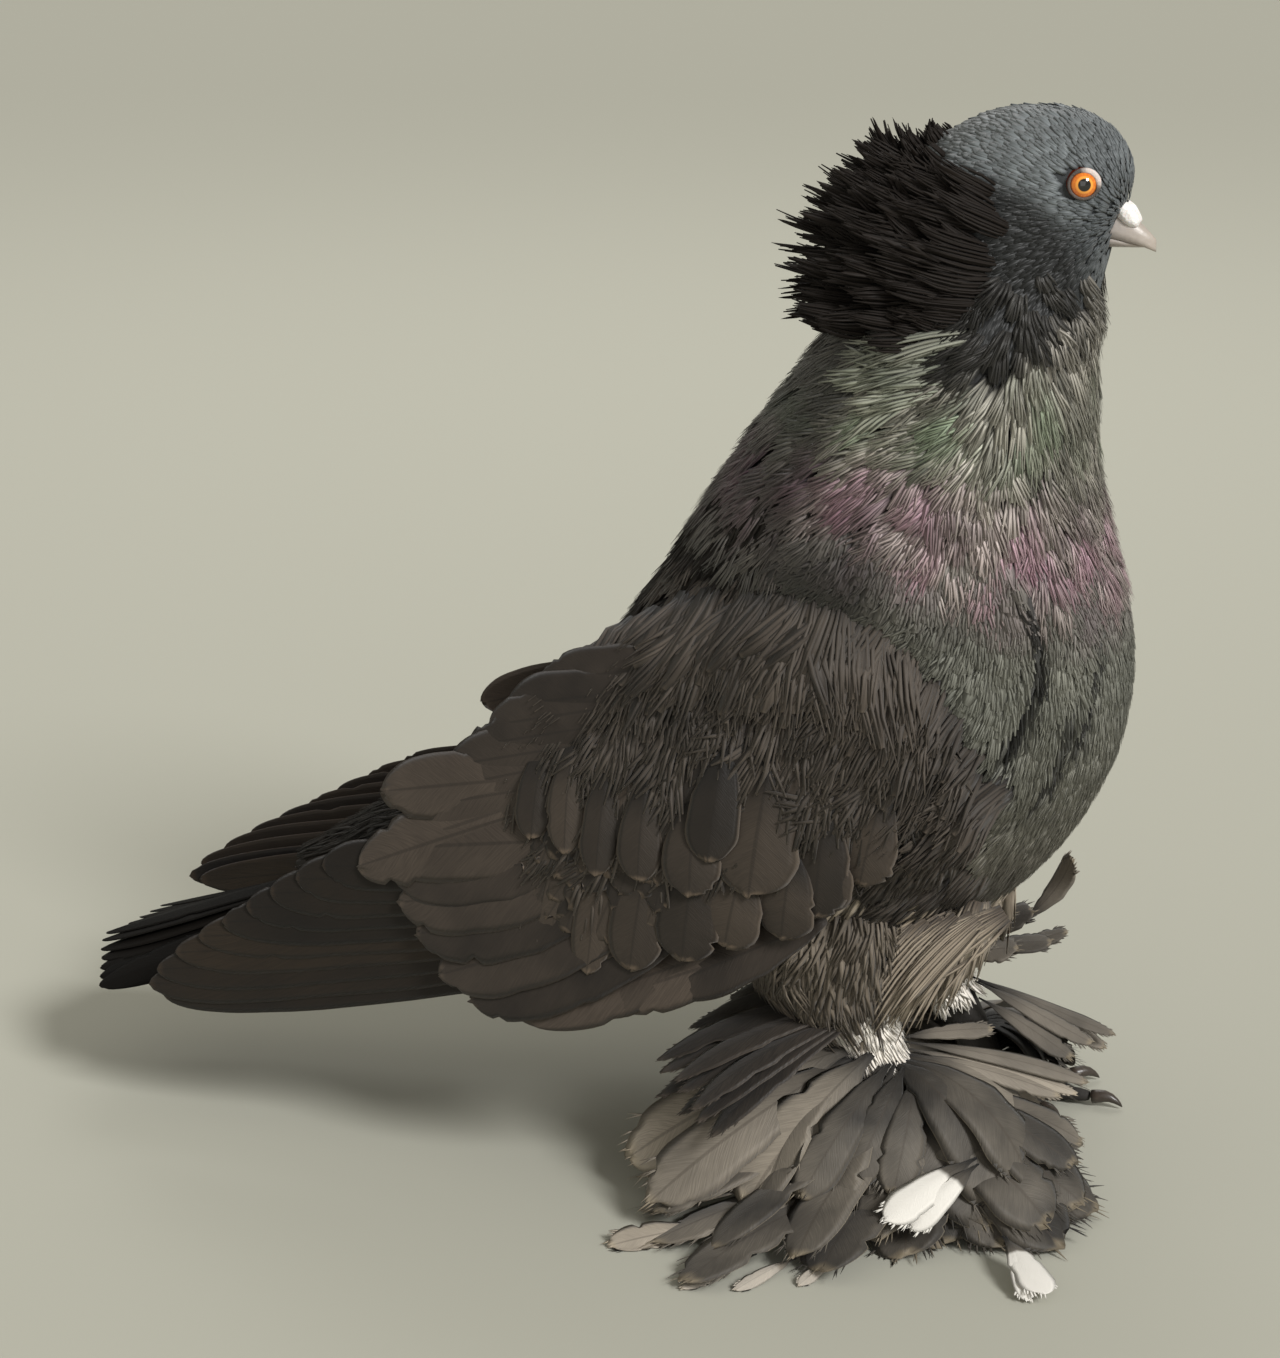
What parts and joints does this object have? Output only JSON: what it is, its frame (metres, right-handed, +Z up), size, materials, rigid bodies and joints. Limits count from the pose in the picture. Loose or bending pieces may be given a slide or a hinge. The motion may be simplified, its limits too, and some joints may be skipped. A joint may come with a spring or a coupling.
{
  "type": "life-size pigeon model",
  "caption": "Life-size standing model of a dark, hooded, feather-footed giant pigeon, head raised, wings folded, feet fanned with long feathers.",
  "frame": {"origin": "on the floor under the middle of the whole bird's outline", "axes": "+X the way the bird faces, +Y its left side, +Z up"},
  "size_m": [0.3456, 0.2662, 0.3295],
  "materials": {
    "plumage": "matt",
    "head": "matt",
    "neck": "satin",
    "hood": "matt",
    "quills": "satin",
    "foot": "matt",
    "claw": "satin",
    "beak": "satin",
    "wattle": "matt",
    "eye": "gloss"
  },
  "bodies": {
    "root": {"head": "head", "beak_upper": "beak", "beak_lower": "beak", "wattle": "wattle", "eye_right": "eye", "eye_left": "eye", "hood": "hood", "neck": "neck", "torso": "plumage", "tail": "quills", "wing_right": "quills", "wing_left": "quills", "thigh_right": "plumage", "thigh_left": "plumage", "foot_right": "foot", "foot_left": "foot", "claw_middle_right": "claw", "claw_inner_right": "claw", "claw_outer_right": "claw", "claw_hind_right": "claw", "claw_middle_left": "claw", "claw_inner_left": "claw", "claw_outer_left": "claw", "claw_hind_left": "claw"}
  },
  "joints": []
}
